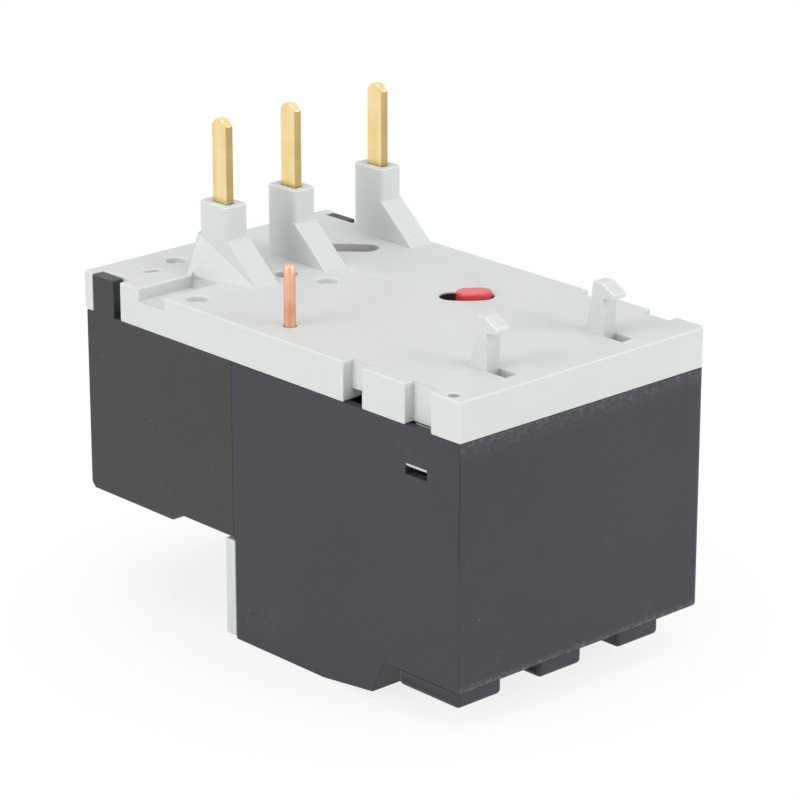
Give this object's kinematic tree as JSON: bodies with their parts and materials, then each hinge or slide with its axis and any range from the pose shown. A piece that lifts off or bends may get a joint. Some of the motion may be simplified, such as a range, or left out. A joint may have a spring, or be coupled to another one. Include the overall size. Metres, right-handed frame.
{
  "type": "thermal overload relay",
  "caption": "Three-pole bimetal thermal overload relay that plugs under a contactor, with contact pins, hooks, setting dial and push buttons.",
  "frame": {"origin": "bottom centre of the whole relay: centre of its width and depth, at the lower edge of the skirt", "axes": "+Z towards the contactor, -Y is the front with the controls, +Y the plain rear face, +X to the right seen from the front"},
  "size_m": [0.045, 0.0758, 0.0676],
  "materials": {
    "light_grey_plastic": "satin moulded",
    "dark_housing_plastic": "satin moulded",
    "black_plastic": "satin moulded",
    "brass_pin": "bright rolled",
    "bimetal_metal": "rolled",
    "sleeve_glass_fibre": "woven",
    "heater_ribbon": "rolled",
    "tinned_copper": "rolled",
    "zinc_plated_steel": "plated",
    "bare_copper": "drawn",
    "contact_copper": "rolled",
    "carrier_plastic": "moulded",
    "flag_plastic": "moulded",
    "red_plastic": "moulded",
    "spring_steel": "drawn",
    "white_plastic": "moulded",
    "blue_plastic": "moulded"
  },
  "bodies": {
    "case": {"top_plate": "light_grey_plastic", "rear_housing": "dark_housing_plastic", "front_housing": "black_plastic", "terminal_cover": "light_grey_plastic", "control_fascia": "light_grey_plastic", "phase_bar_1": "brass_pin", "phase_bar_2": "brass_pin", "phase_bar_3": "brass_pin", "bimetal_1": "bimetal_metal", "bimetal_2": "bimetal_metal", "bimetal_3": "bimetal_metal", "heater_sleeve_1": "sleeve_glass_fibre", "heater_sleeve_2": "sleeve_glass_fibre", "heater_sleeve_3": "sleeve_glass_fibre", "heater_1": "heater_ribbon", "heater_2": "heater_ribbon", "heater_3": "heater_ribbon", "terminal_bar_1": "tinned_copper", "terminal_bar_2": "tinned_copper", "terminal_bar_3": "tinned_copper", "main_clamps": "zinc_plated_steel", "main_screws": "zinc_plated_steel", "aux_clamps": "zinc_plated_steel", "aux_screws": "zinc_plated_steel", "no_contact_in": "tinned_copper", "no_contact_out": "tinned_copper", "nc_contact_in": "tinned_copper", "nc_contact_out": "tinned_copper", "link_terminal": "tinned_copper", "coil_link_wire": "bare_copper", "trip_pivot": "zinc_plated_steel", "trip_spring": "spring_steel", "adjuster_pivot": "zinc_plated_steel", "reset_spring": "spring_steel", "test_spring": "spring_steel"},
    "trip_lever": {"trip_lever": "red_plastic"},
    "contact_carrier": {"contact_carrier": "carrier_plastic", "nc_bridge": "contact_copper", "no_bridge": "contact_copper", "trip_flag": "flag_plastic"},
    "trip_slide": {"trip_slide": "carrier_plastic"},
    "return_slide": {"return_slide": "white_plastic"},
    "differential_lever": {"differential_lever": "carrier_plastic"},
    "adjusting_lever": {"adjusting_lever": "zinc_plated_steel", "compensation_strip": "bimetal_metal"},
    "setting_dial": {"setting_dial": "white_plastic"},
    "reset_button": {"reset_button": "blue_plastic"},
    "test_button": {"test_button": "red_plastic"}
  },
  "joints": [
    {"name": "trip_lever_pivot", "type": "hinge", "parent": "case", "child": "trip_lever", "pos_m": [-0.01435, 0.00005, 0.0296], "axis": [0, 0, -1], "range_deg": [0, 13.01]},
    {"name": "contact_carrier_slide", "type": "slide", "parent": "case", "child": "contact_carrier", "axis": [-1, 0, 0], "range_m": [0, 0.00195]},
    {"name": "trip_slide_travel", "type": "slide", "parent": "case", "child": "trip_slide", "axis": [-1, 0, 0], "range_m": [0, 0.00115]},
    {"name": "return_slide_travel", "type": "slide", "parent": "case", "child": "return_slide", "axis": [-1, 0, 0], "range_m": [0, 0.00115]},
    {"name": "differential_pivot", "type": "hinge", "parent": "trip_slide", "child": "differential_lever", "pos_m": [-0.0005, 0.0006, 0.0271], "axis": [0, 0, 1], "range_deg": [-4, 4]},
    {"name": "setting_dial_turn", "type": "hinge", "parent": "case", "child": "setting_dial", "pos_m": [-0.0136, -0.03787, 0.0322], "axis": [0, 1, 0], "range_deg": [-120, 120]},
    {"name": "adjusting_lever_pivot", "type": "hinge", "parent": "case", "child": "adjusting_lever", "pos_m": [-0.0074, -0.0088, 0.0324], "axis": [0, 0, 1], "range_deg": [-2.4, 2.4]},
    {"name": "reset_button_press", "type": "slide", "parent": "case", "child": "reset_button", "axis": [0, 1, 0], "range_m": [0, 0.0025], "stiffness_N_per_m": 150, "springref_m": -0.002, "deforming": ["reset_spring"]},
    {"name": "test_button_press", "type": "slide", "parent": "case", "child": "test_button", "axis": [0, 1, 0], "range_m": [0, 0.002], "stiffness_N_per_m": 150, "springref_m": -0.002, "deforming": ["test_spring"]}
  ],
  "couplings": [
    {"joint": "trip_lever_pivot", "follows": "contact_carrier_slide", "rad_per_m": 116.36},
    {"joint": "trip_slide_travel", "follows": "contact_carrier_slide", "ratio": 0.58974},
    {"joint": "return_slide_travel", "follows": "contact_carrier_slide", "ratio": 0.58974},
    {"joint": "adjusting_lever_pivot", "follows": "setting_dial_turn", "ratio": 0.02}
  ]
}
